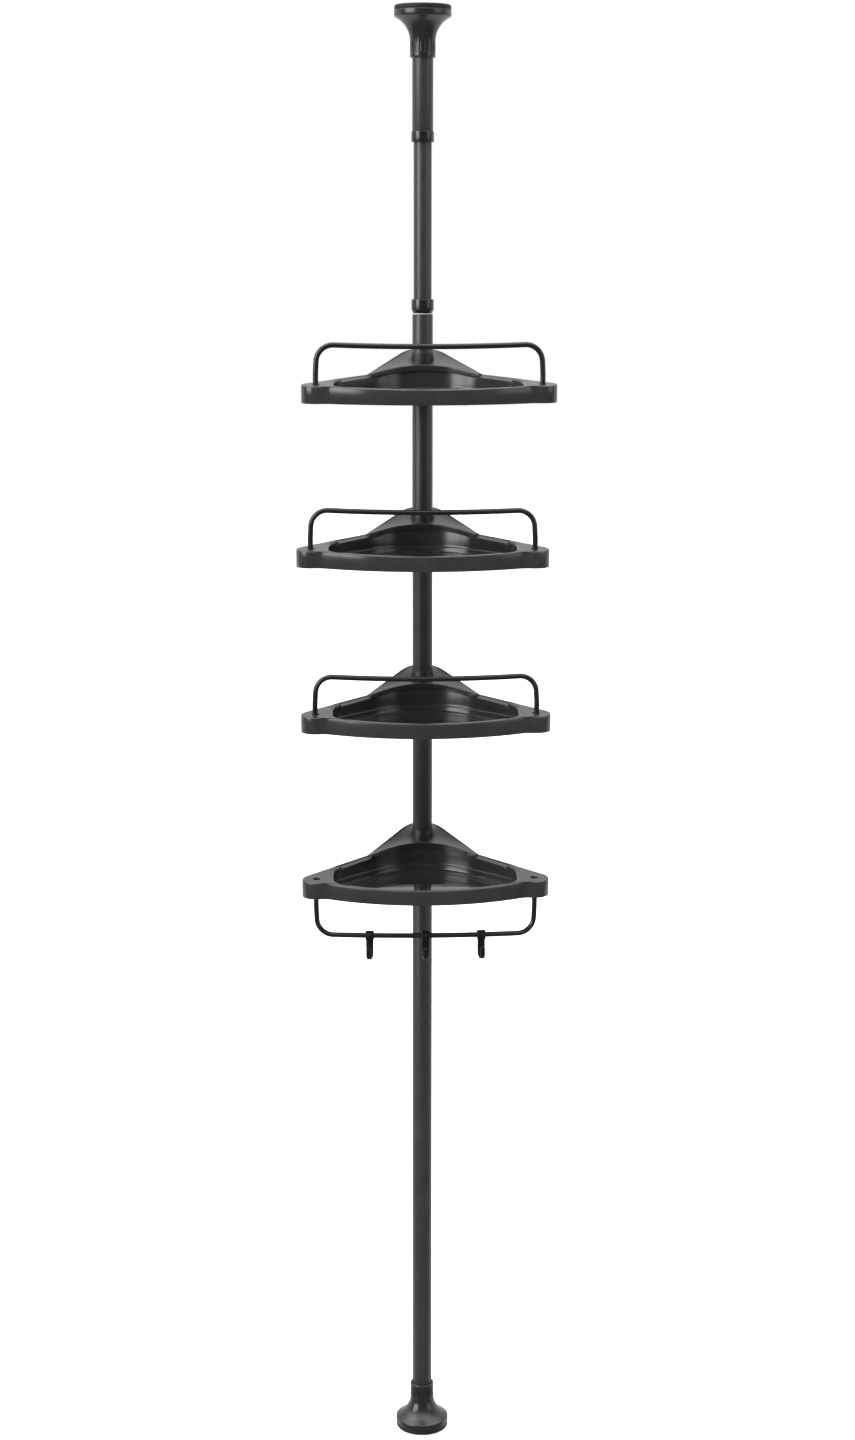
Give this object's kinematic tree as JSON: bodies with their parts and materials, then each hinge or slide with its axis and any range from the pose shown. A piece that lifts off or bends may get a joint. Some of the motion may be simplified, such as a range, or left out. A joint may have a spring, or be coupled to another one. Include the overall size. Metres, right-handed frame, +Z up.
{
  "type": "tension pole shower caddy",
  "caption": "Floor-to-ceiling tension pole with swivelling corner trays, wire guard rails and sliding hooks on a hanging rail.",
  "frame": {"origin": "on the pole's axis, at the underside of the rubber foot pad where it stands on the floor", "axes": "+Z up along the pole; +Y back into the room's corner; -Y is the open front of the trays; +X to the right seen from the front"},
  "size_m": [0.3074, 0.2103, 1.82],
  "materials": {
    "tube_paint": "satin charcoal powder coat",
    "end_plastic": "black, soft gloss",
    "tray_plastic": "black, soft gloss with a mirror-like basin floor",
    "clip_plastic": "black, fine grain",
    "rail_coat": "gloss black coating",
    "hook_plastic": "black, moulded",
    "pad_rubber": "matt black",
    "nylon": "natural white",
    "inner_steel": "plain drawn steel"
  },
  "bodies": {
    "pole": {"floor_pad": "pad_rubber", "foot_bell": "end_plastic", "lower_pole": "tube_paint", "pole_joiner": "inner_steel", "upper_pole": "tube_paint", "lock_sleeve": "nylon"},
    "lock_ring": {"lock_collar": "end_plastic"},
    "slim_tube": {"slide_tube": "tube_paint", "guide_plug": "end_plastic", "spring_seat": "end_plastic", "tension_spring": "inner_steel"},
    "top_end": {"upper_collar": "end_plastic", "upper_tube": "tube_paint", "ceiling_bell": "end_plastic", "ceiling_pad": "pad_rubber"},
    "clips_1": {"clip_front_1": "clip_plastic", "clip_rear_1": "clip_plastic"},
    "shelf_1": {"tray_1": "tray_plastic", "rail_1": "rail_coat"},
    "clips_2": {"clip_front_2": "clip_plastic", "clip_rear_2": "clip_plastic"},
    "shelf_2": {"tray_2": "tray_plastic", "rail_2": "rail_coat"},
    "clips_3": {"clip_front_3": "clip_plastic", "clip_rear_3": "clip_plastic"},
    "shelf_3": {"tray_3": "tray_plastic", "rail_3": "rail_coat"},
    "clips_4": {"clip_front_4": "clip_plastic", "clip_rear_4": "clip_plastic"},
    "shelf_4": {"tray_4": "tray_plastic", "rail_4": "rail_coat"},
    "hook_left": {"hook_left": "hook_plastic"},
    "hook_centre": {"hook_centre": "hook_plastic"},
    "hook_right": {"hook_right": "hook_plastic"}
  },
  "joints": [
    {"name": "lock_twist", "type": "hinge", "parent": "pole", "child": "lock_ring", "pos_m": [0, 0, 1.4685], "axis": [0, 0, 1], "range_deg": [0, 90]},
    {"name": "telescope", "type": "slide", "parent": "pole", "child": "slim_tube", "axis": [0, 0, 1], "range_m": [-0.14, 0.25]},
    {"name": "ceiling_spring", "type": "slide", "parent": "slim_tube", "child": "top_end", "axis": [0, 0, 1], "range_m": [-0.04, 0], "stiffness_N_per_m": 1500, "springref_m": 0.02, "deforming": ["tension_spring"]},
    {"name": "height_1", "type": "slide", "parent": "pole", "child": "clips_1", "axis": [0, 0, 1], "range_m": [-0.055, 0.04]},
    {"name": "swivel_1", "type": "hinge", "parent": "clips_1", "child": "shelf_1", "pos_m": [0, 0, 1.381], "axis": [0, 0, 1], "continuous": true},
    {"name": "height_2", "type": "slide", "parent": "pole", "child": "clips_2", "axis": [0, 0, 1], "range_m": [-0.06, 0.06]},
    {"name": "swivel_2", "type": "hinge", "parent": "clips_2", "child": "shelf_2", "pos_m": [0, 0, 1.188], "axis": [0, 0, 1], "continuous": true},
    {"name": "height_3", "type": "slide", "parent": "pole", "child": "clips_3", "axis": [0, 0, 1], "range_m": [-0.06, 0.06]},
    {"name": "swivel_3", "type": "hinge", "parent": "clips_3", "child": "shelf_3", "pos_m": [0, 0, 0.989], "axis": [0, 0, 1], "continuous": true},
    {"name": "height_4", "type": "slide", "parent": "pole", "child": "clips_4", "axis": [0, 0, 1], "range_m": [-0.55, 0.06]},
    {"name": "swivel_4", "type": "hinge", "parent": "clips_4", "child": "shelf_4", "pos_m": [0, 0, 0.785], "axis": [0, 0, 1], "continuous": true},
    {"name": "hook_left_along_rail", "type": "hinge", "parent": "shelf_4", "child": "hook_left", "pos_m": [-0.02607, 0.78589, 0.7162], "axis": [0, 0, 1], "range_deg": [-2.2, 1.6]},
    {"name": "hook_centre_along_rail", "type": "hinge", "parent": "shelf_4", "child": "hook_centre", "pos_m": [-0.02607, 0.78589, 0.7162], "axis": [0, 0, 1], "range_deg": [-1.6, 1.6]},
    {"name": "hook_right_along_rail", "type": "hinge", "parent": "shelf_4", "child": "hook_right", "pos_m": [-0.02607, 0.78589, 0.7162], "axis": [0, 0, 1], "range_deg": [-1.6, 2.2]}
  ]
}
